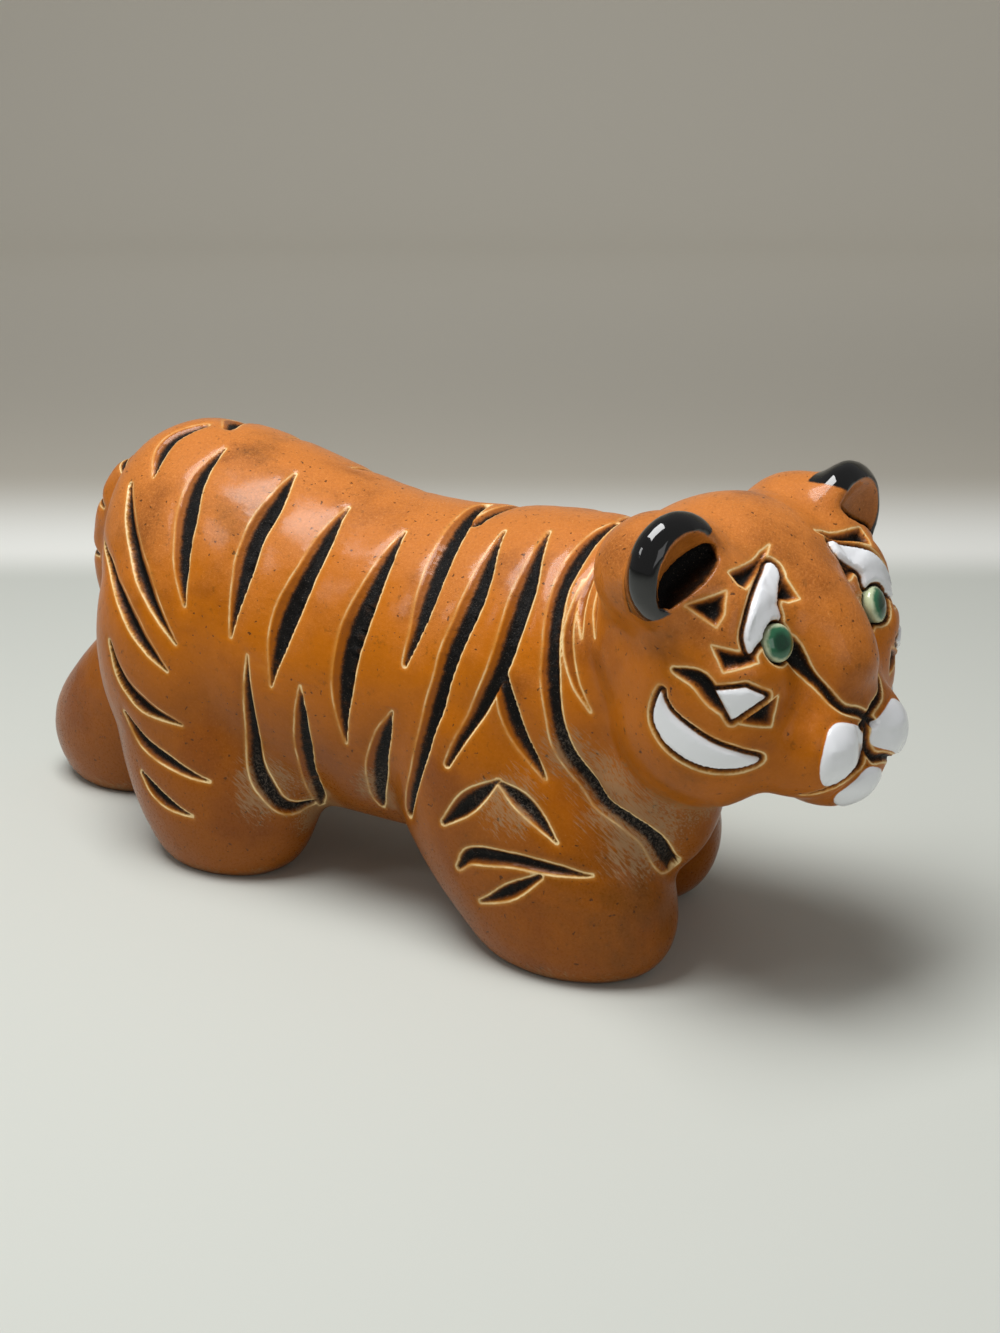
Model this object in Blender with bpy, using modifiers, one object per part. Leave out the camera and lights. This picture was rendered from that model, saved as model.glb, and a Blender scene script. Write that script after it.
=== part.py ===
# A walking tiger, carved from one piece of clay and glazed, its head turned a little to its right.
# +X is forward and +Y its left side. It stands on z = 0, with the middle of its box over the origin.

import math

import bmesh
import bpy
from mathutils import Matrix, Vector
from mathutils.bvhtree import BVHTree

MM = 0.001

# Torso, in millimetres: a barrel of oval sections that rises over the rump
TORSO_REAR = -104.0
TORSO_LENGTH = 180.0
TORSO_WIDTH = 79.0
RUMP_TOP = 118.5
SADDLE_TOP = 102.0
BELLY_BOTTOM = 14.5

# Head, turned about the vertical by HEAD_TURN degrees
HEAD_AHEAD = 5.0
HEAD_SIDE = -5.0
HEAD_HEIGHT = 83.0
HEAD_TURN = -12.0

# Masses of the head: the radii of each, and where it lies ahead, to the side and up
SKULL = (31.0, 36.5, 33.0)
SKULL_AT = (-4.0, 0.0, 0.0)
TEMPLE = (19.0, 17.0, 19.0)
TEMPLE_AT = (4.0, 20.0, 8.0)
CHEEK = (22.0, 18.0, 22.5)
CHEEK_AT = (4.0, 20.0, -12.0)
SIDE_OF_FACE = (21.0, 17.5, 20.0)
SIDE_OF_FACE_AT = (5.0, 20.5, -2.0)
CROWN = (17.0, 17.0, 13.5)
CROWN_AT = (-5.0, 21.0, 21.0)
MUZZLE_PAD = (17.0, 12.5, 12.5)
MUZZLE_PAD_AT = (22.0, 9.5, -19.0)
SNOUT = (20.0, 22.0, 18.0)
SNOUT_AT = (16.0, 0.0, -13.5)
CHIN = (15.0, 12.0, 9.0)
CHIN_AT = (21.5, 0.0, -27.0)
NECK = (32.0, 36.0, 33.0)
NECK_AT = (-20.0, 3.0, -10.0)

# Bridge of the nose, from the brow to the tip: how far ahead, how far up, and its radius
BRIDGE = ((6.0, 14.0, 15.0), (16.0, 9.0, 14.0), (25.5, -1.0, 12.0), (31.0, -8.5, 9.0))

# Ears: bowls that open forward, set by their middle
EAR = (7.0, 13.6, 13.6)
EAR_AHEAD = 5.0
EAR_SPREAD = 34.0
EAR_HEIGHT = 24.0
EAR_OPENING = 6.0
EAR_RIM = 4.4
EAR_WALL = 2.5
EAR_CHORD = -4.0
EAR_HOLLOW = 9.5
EAR_HOLLOW_AHEAD = 5.0
EAR_BACK = (12.0, 12.0, 12.0)
EAR_BACK_AT = (-6.0, 0.0, -8.0)

# Legs: where each stands, as shares of the torso's length from its rear and of half its width,
# and how far it leans at the top, as a share of the torso's length
HIND_RIGHT = (0.239, -0.557, -0.045)
HIND_LEFT = (-0.106, 0.203, 0.211)
FORE_RIGHT = (0.839, -0.608, -0.145)
FORE_LEFT = (0.772, 0.519, -0.089)
LEG_WIDTH = 39.0
LEG_LENGTH = 76.0
LEG_HEIGHT = 72.0
LEG_TUCK = 1.5
THIGH = (31.0, 21.0, 42.0)
RUMP_END = (13.0, 19.0, 28.0)
CHEST = (17.0, 17.0, 26.0)
TAIL_WIDTH = 18.0

# Clay that is worked together: the grid that melts the masses into one, and the soft joins
CLAY_GRID = 1.5
SOFT_JOINS = 14
SKIN_GRID = 1.2
SKIN_PASSES = 3
BARE_FACETS = 3500

# Carving. A groove is as deep as DEPTH shares of its half width, and thins out to END_WIDTH
DEPTH = 0.75
END_WIDTH = 0.22
STRIPE = 3.2
THIGH_STROKE = 2.2
LEG_STROKE = 1.7
NECK_RING = 2.6
NECK_LINE = 1.1
FACE_LINE = 0.9
POCKET_DEPTH = 1.5
EYE_RADIUS = 4.4
EYE_AT = (40.0, 14.5)
STEP_ALONG = 8.0
SOLE_SNAP = 0.05
FLOOR_BLOCK = (600.0, 300.0, 100.0)
SHARP_ANGLE = 40.0
AXIS_HEIGHT = 62.0
LEFT_LAG = 4.0

GLAZE = (0.48, 0.16, 0.035, 1.0)
GLAZE_ROUGHNESS = 0.32

# Strokes on a side of the body, each as half width and points of (hundredths of the torso length
# from the rear, degrees round from the spine)
SIDE_STROKES = (
    (STRIPE * 0.9, ((14, 5), (11.5, 15), (13, 29))),
    (STRIPE, ((21.5, 14), (21, 28), (22, 42), (23, 55), (24.5, 70))),
    (STRIPE, ((33.5, 13), (34, 27), (33.5, 42), (33.5, 58), (33, 78))),
    (STRIPE * 1.1, ((44, 19), (43.5, 45), (41.5, 70), (40, 94))),
    (STRIPE * 1.1, ((54.5, 24), (54, 48), (52.5, 74), (52, 95), (52, 111))),
    (STRIPE, ((60.5, -6), (62.5, 28), (63, 57), (62, 75))),
    (STRIPE, ((69.5, 18), (70.5, 46), (69, 68), (67.5, 88), (65.5, 107), (62.5, 126))),
    (STRIPE * 0.9, ((76, 16), (77.5, 42), (77, 66), (74.5, 85), (70.5, 105))),
    (STRIPE * 0.7, ((77, 70), (80, 90), (84, 107))),
)

# The ring round the neck, and the fine lines beside it. Only the right side's ring goes on between
# the chest and the foreleg, past LEFT_MARKS marks
LEFT_MARKS = 6
NECK_STROKES = (
    (NECK_RING, ((83, 2), (82.5, 22), (82.5, 40), (83.7, 60), (85, 78), (86.8, 97), (90.5, 114),
                 (95, 120), (98, 128), (99, 141))),
    (NECK_LINE, ((85, 34), (85.5, 53), (87.5, 68), (90, 79))),
    (NECK_LINE, ((86, 19), (86, 40), (87.5, 54))),
)
FLANK_STROKES = (
    (LEG_STROKE, ((45, 92), (44.5, 112), (42.6, 140), (40.7, 154))),
    (LEG_STROKE, ((60.5, 94), (57.7, 111), (55, 132))),
)
THIGH_STROKES = (
    (THIGH_STROKE, ((9, 32), (13, 50), (18, 67), (23.5, 85))),
    (THIGH_STROKE, ((5, 51), (12, 70), (17, 84), (22, 96))),
    (THIGH_STROKE, ((10, 91), (12.5, 103), (17, 111), (23.5, 116))),
)
SHIN_STROKES = (
    (LEG_STROKE, ((12, 118), (15, 124), (22, 127), (28.5, 130))),
    (LEG_STROKE, ((15, 133), (18.5, 135), (25.5, 137))),
    (LEG_STROKE, ((36, 84), (35.5, 110), (34.8, 128), (37, 138))),
)
SHOULDER_STROKES = (
    (LEG_STROKE, ((78, 108), (74, 114), (70, 122))),
    (LEG_STROKE, ((77.5, 109), (82.5, 115), (86.5, 123))),
    (LEG_STROKE, ((72.5, 131), (75, 127), (81, 126), (87, 128), (91, 131))),
    (LEG_STROKE * 0.8, ((76, 136), (81, 132), (85, 129))),
)

# The face, the same on both sides, as points of (degrees out from the middle, degrees up) seen
# from the middle of the head: pockets, closed outlines round the white patches, and lines
FACE_POCKETS = (
    ((59, 40), (40, 57), (44, 49), (53, 36)),
    ((32, 45), (25, 33), (40, 33)),
    ((65, 35), (64, 21), (76, 25)),
    ((67, 15), (63, 6), (53, 11)),
    ((42, -4), (44, -15), (54, -10), (48, -7)),
)
WHITE_PATCHES = (
    ((43, 49), (36, 47), (41, 34), (41, 25), (49, 20), (54, 12), (57, 22), (54, 33), (49, 41)),
    ((64, -2), (55, -1), (47, -5), (53, -8), (59, -10)),
    ((83, -4), (86, -11), (82, -19), (75, -24), (66, -27), (57, -27), (48, -26), (57, -20),
     (68, -15), (76, -10)),
)
MUZZLE_PATCH = ((13, -18), (4, -21), (3, -31), (7, -38), (17, -39), (25, -32), (23, -23))
FACE_LINES = (
    (FACE_LINE * 1.8, ((45, 12), (34, 9), (24, 1), (15, -9), (7, -16), (-1, -20))),
    (FACE_LINE * 1.6, ((75, 4), (67, 2), (60, -9), (50, -18))),
    (FACE_LINE, ((28, -42), (15, -42), (6, -39), (1, -34), (-1, -28))),
)

# Rings round the tail: where along it, as the number of a point of its route
TAIL_RINGS = (2.4, 3.4, 4.3, 5.2, 6.1, 7.0)
TAIL_RING = 1.3


def clearScene():
    for item in list(bpy.data.objects):
        bpy.data.objects.remove(item)


def collection(name):
    made = bpy.data.collections.new(name)
    bpy.context.scene.collection.children.link(made)
    return made


def torsoFront():
    return TORSO_REAR + TORSO_LENGTH


def beside(along, aside, up):
    """A place by shares of the torso's length, half its width and the rump's height."""
    return Vector((TORSO_REAR + along * TORSO_LENGTH, aside * TORSO_WIDTH / 2, up * RUMP_TOP))


def headFrame():
    centre = Vector((torsoFront() + HEAD_AHEAD, HEAD_SIDE, HEAD_HEIGHT))
    return Matrix.Translation(centre) @ Matrix.Rotation(math.radians(HEAD_TURN), 4, "Z")


def egg(frame, centre, radii):
    """A rounded mass, as a sphere stretched to its radii."""
    bpy.ops.mesh.primitive_uv_sphere_add(segments=32, ring_count=20, radius=1.0)
    made = bpy.context.object
    made.matrix_world = frame @ Matrix.Translation(centre) @ Matrix.Diagonal((*radii, 1.0))
    return made


def loft(rings):
    """A skin over closed rings of equal point counts, capped at both ends and rounded."""
    shape = bmesh.new()
    loops = [[shape.verts.new(point) for point in ring] for ring in rings]
    for near, far in zip(loops, loops[1:]):
        for i, corner in enumerate(near):
            j = (i + 1) % len(near)
            shape.faces.new((corner, near[j], far[j], far[i]))
    shape.faces.new(loops[0])
    shape.faces.new(loops[-1])
    bmesh.ops.recalc_face_normals(shape, faces=shape.faces)
    mesh = bpy.data.meshes.new("loft")
    shape.to_mesh(mesh)
    shape.free()
    made = bpy.data.objects.new("loft", mesh)
    bpy.context.scene.collection.objects.link(made)
    rounded = made.modifiers.new("rounded", "SUBSURF")
    rounded.levels = 1
    rounded.render_levels = 1
    return made


def oval(centre, across, up, count=24):
    turns = [2 * math.pi * k / count for k in range(count)]
    return [centre + across * math.cos(t) + up * math.sin(t) for t in turns]


def swept(path):
    """Round sections along a path of (point, radius)."""
    points = [Vector(point) for point, radius in path]
    rings = []
    for i, (point, radius) in enumerate(path):
        ahead = points[min(i + 1, len(points) - 1)]
        behind = points[max(i - 1, 0)]
        along = (ahead - behind).normalized()
        across = (Vector((0, 1, 0)) - along * along.y).normalized()
        rings.append(oval(points[i], across * radius, across.cross(along) * radius))
    return loft(rings)


def torso():
    """Sections as (share of the length, top, bottom, share of the width)."""
    sections = (
        (0.0, RUMP_TOP * 0.823, RUMP_TOP * 0.608, 0.28),
        (0.02, RUMP_TOP * 0.899, RUMP_TOP * 0.456, 0.6),
        (0.06, RUMP_TOP * 0.954, RUMP_TOP * 0.321, 0.82),
        (0.14, RUMP_TOP * 0.987, RUMP_TOP * 0.169, 0.96),
        (0.28, RUMP_TOP * 0.949, BELLY_BOTTOM, 1.0),
        (0.43, SADDLE_TOP * 1.015, BELLY_BOTTOM, 0.98),
        (0.58, SADDLE_TOP * 0.995, BELLY_BOTTOM, 0.96),
        (0.71, SADDLE_TOP * 1.034, BELLY_BOTTOM, 1.0),
        (0.82, SADDLE_TOP * 1.034, SADDLE_TOP * 0.211, 0.99),
        (0.92, SADDLE_TOP * 1.01, SADDLE_TOP * 0.314, 0.9),
        (1.0, SADDLE_TOP * 0.941, SADDLE_TOP * 0.451, 0.6),
    )
    rings = []
    for share, top, bottom, width in sections:
        centre = Vector((TORSO_REAR + share * TORSO_LENGTH, 0, (top + bottom) / 2))
        across = Vector((0, width * TORSO_WIDTH / 2, 0))
        rings.append(oval(centre, across, Vector((0, 0, (top - bottom) / 2))))
    return loft(rings)


def leg(place, sections):
    """Level sections as shares: height, half length, width, and how much of the lean it takes."""
    along, aside, lean = place
    foot = beside(along, aside, 0)
    side = math.copysign(1.0, aside)
    rings = []
    for height, length, width, back in sections:
        centre = foot + Vector((back * lean * TORSO_LENGTH, -side * back * LEG_TUCK, height * LEG_HEIGHT))
        across = Vector((0, width * LEG_WIDTH / 2, 0))
        rings.append(oval(centre, across, Vector((length * LEG_LENGTH, 0, 0))))
    return loft(rings)


def legs():
    hind = (
        (0.917, 0.29, 0.75, 1.0), (0.639, 0.42, 0.92, 0.7), (0.389, 0.435, 0.99, 0.25),
        (0.208, 0.38, 1.0, 0.04), (0.069, 0.31, 0.88, 0.0), (-0.042, 0.225, 0.7, 0.0),
    )
    fore = (
        (1.0, 0.29, 0.87, 1.0), (0.694, 0.42, 1.0, 0.82), (0.389, 0.5, 1.05, 0.42),
        (0.194, 0.435, 1.02, 0.12), (0.069, 0.355, 0.94, 0.0), (-0.042, 0.265, 0.75, 0.0),
    )
    return [leg(HIND_RIGHT, hind), leg(HIND_LEFT, hind), leg(FORE_RIGHT, fore), leg(FORE_LEFT, fore)]


def tailRoute():
    """Points down the rump and round the left hind foot, by shares, and how thick the tail is."""
    route = (
        (0.022, 0.025, 0.852, 0.55), (-0.022, 0.025, 0.81, 0.9), (-0.055, 0.025, 0.709, 1.0),
        (-0.072, 0.05, 0.574, 1.0), (-0.078, 0.2, 0.439, 1.0), (-0.072, 0.53, 0.346, 1.0),
        (-0.033, 0.81, 0.295, 1.0), (0.033, 0.99, 0.27, 0.95), (0.1, 1.04, 0.262, 0.65),
    )
    return [(beside(along, aside, up), thick * TAIL_WIDTH / 2) for along, aside, up, thick in route]


def earFrame(side):
    """Local axes of an ear: the way it opens, along its mouth, and out from the head."""
    turn = math.radians(side * EAR_OPENING)
    opening = Vector((math.cos(turn), math.sin(turn), 0))
    level = Vector((-math.sin(turn) * side, math.cos(turn) * side, 0))
    outward = (level + Vector((0, 0, 1))).normalized()
    mouth = outward.cross(opening)
    axes = Matrix((opening, mouth, outward)).transposed().to_4x4()
    place = Matrix.Translation((EAR_AHEAD, side * EAR_SPREAD, EAR_HEIGHT))
    return headFrame() @ place @ axes


def head():
    frame = headFrame()
    made = [
        egg(frame, SKULL_AT, SKULL),
        egg(frame, SNOUT_AT, SNOUT),
        egg(frame, CHIN_AT, CHIN),
        egg(frame, NECK_AT, NECK),
        swept([(frame @ Vector((ahead, 0, up)), radius) for ahead, up, radius in BRIDGE]),
    ]
    pairs = (
        (TEMPLE_AT, TEMPLE), (CHEEK_AT, CHEEK), (SIDE_OF_FACE_AT, SIDE_OF_FACE), (CROWN_AT, CROWN),
        (MUZZLE_PAD_AT, MUZZLE_PAD),
    )
    for side in (-1, 1):
        for (ahead, aside, up), radii in pairs:
            made.append(egg(frame, (ahead, side * aside, up), radii))
        made.append(egg(earFrame(side), (-1, 0, 0), EAR))
        made.append(egg(earFrame(side), EAR_BACK_AT, EAR_BACK))
    return made


def masses():
    made = [torso(), swept(tailRoute()), *legs(), *head()]
    still = Matrix.Identity(4)
    made.append(egg(still, beside(0.183, -0.506, 0.481), THIGH))
    made.append(egg(still, beside(0.156, 0.506, 0.481), THIGH))
    made.append(egg(still, beside(0.011, 0.025, 0.59), RUMP_END))
    made.append(egg(still, beside(0.945, -0.43, 0.422), CHEST))
    return made


def melted(pieces, name):
    """One clay body from overlapping masses, in metres."""
    bpy.context.view_layer.update()
    graph = bpy.context.evaluated_depsgraph_get()
    heap = bmesh.new()
    for piece in pieces:
        mesh = bpy.data.meshes.new_from_object(piece.evaluated_get(graph))
        mesh.transform(Matrix.Scale(MM, 4) @ piece.matrix_world)
        heap.from_mesh(mesh)
        bpy.data.meshes.remove(mesh)
    for piece in pieces:
        bpy.data.objects.remove(piece)
    mesh = bpy.data.meshes.new(name)
    heap.to_mesh(mesh)
    heap.free()
    made = bpy.data.objects.new(name, mesh)
    grid = made.modifiers.new("one body", "REMESH")
    grid.mode = "VOXEL"
    grid.voxel_size = CLAY_GRID * MM
    smooth = made.modifiers.new("soft joins", "SMOOTH")
    smooth.iterations = SOFT_JOINS
    return made


def cutter(piece, home):
    """Takes a mass as a cutter, in metres."""
    piece.matrix_world = Matrix.Scale(MM, 4) @ piece.matrix_world
    for owner in list(piece.users_collection):
        owner.objects.unlink(piece)
    home.objects.link(piece)
    piece.hide_render = True
    piece.display_type = "WIRE"
    return piece


def cut(body, tool, name):
    step = body.modifiers.new(name, "BOOLEAN")
    step.operation = "DIFFERENCE"
    step.object = tool


def halved(piece):
    """Leaves the half of a mass that lies out from its middle, closed by a flat face."""
    shape = bmesh.new()
    shape.from_mesh(piece.data)
    parts = shape.verts[:] + shape.edges[:] + shape.faces[:]
    found = bmesh.ops.bisect_plane(
        shape, geom=parts, plane_co=(0, 0, 0.001), plane_no=(0, 0, 1), clear_inner=True
    )
    rim = [part for part in found["geom_cut"] if isinstance(part, bmesh.types.BMEdge)]
    bmesh.ops.holes_fill(shape, edges=rim)
    bmesh.ops.recalc_face_normals(shape, faces=shape.faces)
    shape.to_mesh(piece.data)
    shape.free()


def floorBlock():
    """Everything below the table, for the flat soles."""
    bpy.ops.mesh.primitive_cube_add(size=1.0)
    made = bpy.context.object
    low = Matrix.Translation((0, 0, -FLOOR_BLOCK[2] / 2))
    made.matrix_world = low @ Matrix.Diagonal((*FLOOR_BLOCK, 1))
    return made


def applied(piece):
    """The same object with its modifiers made real."""
    bpy.context.view_layer.update()
    graph = bpy.context.evaluated_depsgraph_get()
    mesh = bpy.data.meshes.new_from_object(piece.evaluated_get(graph))
    piece.modifiers.clear()
    piece.data = mesh
    return piece


def bareForm(home, tools):
    body = melted(masses(), "tiger")
    home.objects.link(body)
    for side in (-1, 1):
        high = EAR[2] - EAR_RIM - EAR_CHORD
        radii = (EAR_HOLLOW, EAR[1] - EAR_WALL, high)
        hollow = egg(earFrame(side), (EAR_HOLLOW_AHEAD, 0, EAR_CHORD), radii)
        halved(hollow)
        cut(body, cutter(hollow, tools), "ear hollow")
    grid = body.modifiers.new("skin", "REMESH")
    grid.mode = "VOXEL"
    grid.voxel_size = SKIN_GRID * MM
    smooth = body.modifiers.new("skin finish", "SMOOTH")
    smooth.iterations = SKIN_PASSES
    cut(body, cutter(floorBlock(), tools), "flat soles")
    return applied(body)


def onBody(skin, station, turn):
    """The point and normal of the surface at a station of the torso, turned from the spine."""
    ahead = TORSO_REAR + station / 100 * TORSO_LENGTH
    outward = Vector((0, -math.sin(math.radians(turn)), math.cos(math.radians(turn))))
    return struck(skin, Vector((ahead, 0, AXIS_HEIGHT)), outward)


def onHead(skin, across, up):
    across, up = math.radians(across), math.radians(up)
    level = Vector((math.cos(across), math.sin(across), 0)) * math.cos(up)
    frame = headFrame()
    return struck(skin, frame.translation, frame.to_3x3() @ (level + Vector((0, 0, math.sin(up)))))


def struck(skin, middle, outward, away=120):
    """Where a line coming in from outside meets the surface."""
    far = middle + outward * away
    point, normal, face, distance = skin.ray_cast(far * MM, -outward)
    return point / MM, normal


def through(marks, count):
    """Marks along a smooth line through the given ones, count steps from end to end."""
    marks = [Vector(mark) for mark in marks]
    marks = [marks[0] * 2 - marks[1], *marks, marks[-1] * 2 - marks[-2]]
    spans = len(marks) - 3
    line = []
    for k in range(count + 1):
        i = min(k * spans // count, spans - 1)
        t = k * spans / count - i
        a, b, c, d = marks[i:i + 4]
        line.append(
            (b * 2 + (c - a) * t + (a * 2 - b * 5 + c * 4 - d) * t ** 2
             + (b * 3 - a - c * 3 + d) * t ** 3) / 2
        )
    return line


def roundedOut(corners):
    """A closed smooth line through the corners, with one more point between each two."""
    count = len(corners)
    looped = [corners[k % count] for k in range(count + 3)]
    return through(looped, 2 * (count + 2))[2:2 + 2 * count]


def gouge(touches, half):
    """A cutter that follows surface points, widest in its middle and thin at its ends."""
    profile = ((-1.4, 1.0), (-0.45, -1.0), (0.45, -1.0), (1.4, 1.0))
    rings = []
    for i, (point, normal) in enumerate(touches):
        ahead = touches[min(i + 1, len(touches) - 1)][0]
        behind = touches[max(i - 1, 0)][0]
        aside = normal.cross(ahead - behind).normalized()
        share = max(0.0, math.sin(math.pi * i / (len(touches) - 1))) ** 0.6
        wide = half * (END_WIDTH + (1 - END_WIDTH) * share)
        rings.append([point + aside * wide * a + normal * wide * (b if b > 0 else b * DEPTH)
                      for a, b in profile])
    return rings


def skinned(rings, closed, name):
    """A mesh over open or closed runs of rings, in metres."""
    shape = bmesh.new()
    loops = [[shape.verts.new(point * MM) for point in ring] for ring in rings]
    pairs = list(zip(loops, loops[1:]))
    if closed:
        pairs.append((loops[-1], loops[0]))
    for near, far in pairs:
        for i, corner in enumerate(near):
            j = (i + 1) % len(near)
            shape.faces.new((corner, near[j], far[j], far[i]))
    if not closed:
        shape.faces.new(loops[0])
        shape.faces.new(loops[-1])
    bmesh.ops.recalc_face_normals(shape, faces=shape.faces)
    mesh = bpy.data.meshes.new(name)
    shape.to_mesh(mesh)
    shape.free()
    return bpy.data.objects.new(name, mesh)


def length(touches):
    return sum((b[0] - a[0]).length for a, b in zip(touches, touches[1:]))


def stroke(place, marks, half, name):
    """A groove along marks that place puts on the surface."""
    rough = [place(*mark) for mark in through(marks, 12)]
    steps = max(3, round(length(rough) / STEP_ALONG))
    return skinned(gouge([place(*mark) for mark in through(marks, steps)], half), False, name)


def outline(place, corners, half, name):
    """A closed groove round a patch."""
    touches = [place(*corner) for corner in corners]
    rings = []
    for i, (point, normal) in enumerate(touches):
        aside = normal.cross(touches[(i + 1) % len(touches)][0] - touches[i - 1][0]).normalized()
        rings.append([point + aside * half * a + normal * half * b
                      for a, b in ((-1.3, 1.2), (0, -1.2), (1.3, 1.2))])
    return skinned(rings, True, name)


def pocket(place, corners, name):
    """A sunk patch with upright walls."""
    touches = [place(*corner) for corner in corners]
    normal = sum((touch[1] for touch in touches), Vector()).normalized()
    floor = [point - normal * POCKET_DEPTH for point, _ in touches]
    rim = [point + normal * 3 for point, _ in touches]
    return skinned([floor, rim], False, name)


def eyeRing(place, side):
    point, normal = place(EYE_AT[0] * side, EYE_AT[1])
    across = normal.orthogonal().normalized()
    up = normal.cross(across)
    rings = []
    for k in range(14):
        turn = 2 * math.pi * k / 14
        out = across * math.cos(turn) + up * math.sin(turn)
        middle = point + out * EYE_RADIUS
        rings.append([middle + out * a + normal * b for a, b in ((-1.1, 1.2), (0, -1.3), (1.5, 2.0))])
    return skinned(rings, True, "eye ring")


def tailRing(skin, at):
    """A groove over the side of the tail that stands clear of the body."""
    route = tailRoute()
    i = int(at)
    point = route[i][0].lerp(route[i + 1][0], at - i)
    along = (route[i + 1][0] - route[i][0]).normalized()
    middle = beside(0.167, 0, 0)
    middle.z = point.z
    outward = (point - middle).normalized()
    outward = (outward - along * outward.dot(along)).normalized()
    aside = along.cross(outward)
    touches = []
    for k in range(9):
        turn = math.radians(-72 + 18 * k)
        reach = outward * math.cos(turn) + aside * math.sin(turn)
        touches.append(struck(skin, point, reach, TAIL_WIDTH * 0.8))
    return skinned(gouge(touches, TAIL_RING), False, "tail ring")


def carving(skin):
    """Every cutter of the coat and the face."""
    made = []
    for side in (-1, 1):
        def body(station, turn):
            return onBody(skin, station + (LEFT_LAG if side > 0 else 0), -side * turn)

        def ring(station, turn):
            return onBody(skin, station, -side * turn)

        def face(across, up):
            return onHead(skin, side * across, up)

        strokes = SIDE_STROKES + FLANK_STROKES + THIGH_STROKES + SHOULDER_STROKES
        if side < 0:
            strokes += SHIN_STROKES
        for half, marks in strokes:
            made.append(stroke(body, marks, half, "stripe"))
        for half, marks in NECK_STROKES:
            made.append(stroke(ring, marks if side < 0 else marks[:LEFT_MARKS], half, "neck line"))
        for half, marks in FACE_LINES:
            made.append(stroke(face, marks, half, "face line"))
        for corners in WHITE_PATCHES:
            made.append(outline(face, corners, FACE_LINE, "patch outline"))
        made.append(outline(face, roundedOut(MUZZLE_PATCH), FACE_LINE, "muzzle outline"))
        for corners in FACE_POCKETS:
            made.append(pocket(face, corners, "pocket"))
        made.append(eyeRing(face, 1))
    for at in TAIL_RINGS:
        made.append(tailRing(skin, at))
    return made


def whole(body):
    """Drops the chips that crossing grooves cut free."""
    shape = bmesh.new()
    shape.from_mesh(body.data)
    waiting = set(shape.verts)
    pieces = []
    while waiting:
        found = [waiting.pop()]
        for corner in found:
            beyond = [edge.other_vert(corner) for edge in corner.link_edges]
            fresh = [other for other in beyond if other in waiting]
            waiting.difference_update(fresh)
            found.extend(fresh)
        pieces.append(found)
    pieces.sort(key=len)
    for chip in pieces[:-1]:
        bmesh.ops.delete(shape, geom=chip, context="VERTS")
    shape.to_mesh(body.data)
    shape.free()


def settled(body):
    """Soles exactly on the table, and the middle of the box over the origin."""
    mesh = body.data
    for corner in mesh.vertices:
        if corner.co.z < SOLE_SNAP * MM:
            corner.co.z = 0.0
    middle = [(min(c.co[k] for c in mesh.vertices) + max(c.co[k] for c in mesh.vertices)) / 2
              for k in (0, 1)]
    mesh.transform(Matrix.Translation((-middle[0], -middle[1], 0)))


def glazed(body):
    clay = bpy.data.materials.new("amber glaze")
    clay.use_nodes = True
    shader = clay.node_tree.nodes["Principled BSDF"]
    shader.inputs["Base Color"].default_value = GLAZE
    shader.inputs["Roughness"].default_value = GLAZE_ROUGHNESS
    shader.inputs["Metallic"].default_value = 0.0
    body.data.materials.clear()
    body.data.materials.append(clay)
    for face in body.data.polygons:
        face.use_smooth = True
    body.data.set_sharp_from_angle(angle=math.radians(SHARP_ANGLE))


def main():
    clearScene()
    home = collection("tiger figurine")
    tools = collection("cutters")
    gouges = collection("carving")
    body = bareForm(home, tools)
    skin = BVHTree.FromObject(body, bpy.context.evaluated_depsgraph_get())
    fewer = body.modifiers.new("fewer facets", "DECIMATE")
    fewer.ratio = BARE_FACETS / sum(len(face.vertices) - 2 for face in body.data.polygons)
    for tool in carving(skin):
        gouges.objects.link(tool)
        tool.hide_render = True
        tool.display_type = "WIRE"
    carve = body.modifiers.new("carving", "BOOLEAN")
    carve.operation = "DIFFERENCE"
    carve.operand_type = "COLLECTION"
    carve.collection = gouges
    applied(body)
    whole(body)
    settled(body)
    glazed(body)


main()
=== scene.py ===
import math

import bmesh
import bpy
import numpy as np
from mathutils import Matrix, Vector, noise
from mathutils.bvhtree import BVHTree


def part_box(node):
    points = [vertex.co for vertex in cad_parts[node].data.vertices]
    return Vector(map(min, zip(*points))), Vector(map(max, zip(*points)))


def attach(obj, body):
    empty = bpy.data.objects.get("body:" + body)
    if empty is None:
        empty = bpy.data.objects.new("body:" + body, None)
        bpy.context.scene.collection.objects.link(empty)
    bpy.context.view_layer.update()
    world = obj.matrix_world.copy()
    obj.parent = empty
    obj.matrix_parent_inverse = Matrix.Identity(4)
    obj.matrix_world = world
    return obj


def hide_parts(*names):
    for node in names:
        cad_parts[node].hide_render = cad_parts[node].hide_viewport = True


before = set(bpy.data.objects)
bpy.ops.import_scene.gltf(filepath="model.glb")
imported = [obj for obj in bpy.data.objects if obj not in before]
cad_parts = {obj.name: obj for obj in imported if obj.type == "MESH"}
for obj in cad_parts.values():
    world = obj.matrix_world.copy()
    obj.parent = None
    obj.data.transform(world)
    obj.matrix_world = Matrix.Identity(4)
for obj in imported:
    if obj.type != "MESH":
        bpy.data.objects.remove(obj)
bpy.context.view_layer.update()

print("frame loaded")

# Sizes are in millimetres while the clay is worked, and metres once the animal is in place.
# +x is the way the animal walks, +y its left.

torsoShape = {
    "rear": -104.0,
    "length": 180.0,
    "width": 79.0,
    "rumpTop": 118.5,
    "saddleTop": 102.0,
    "bellyBottom": 14.5,
}

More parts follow.
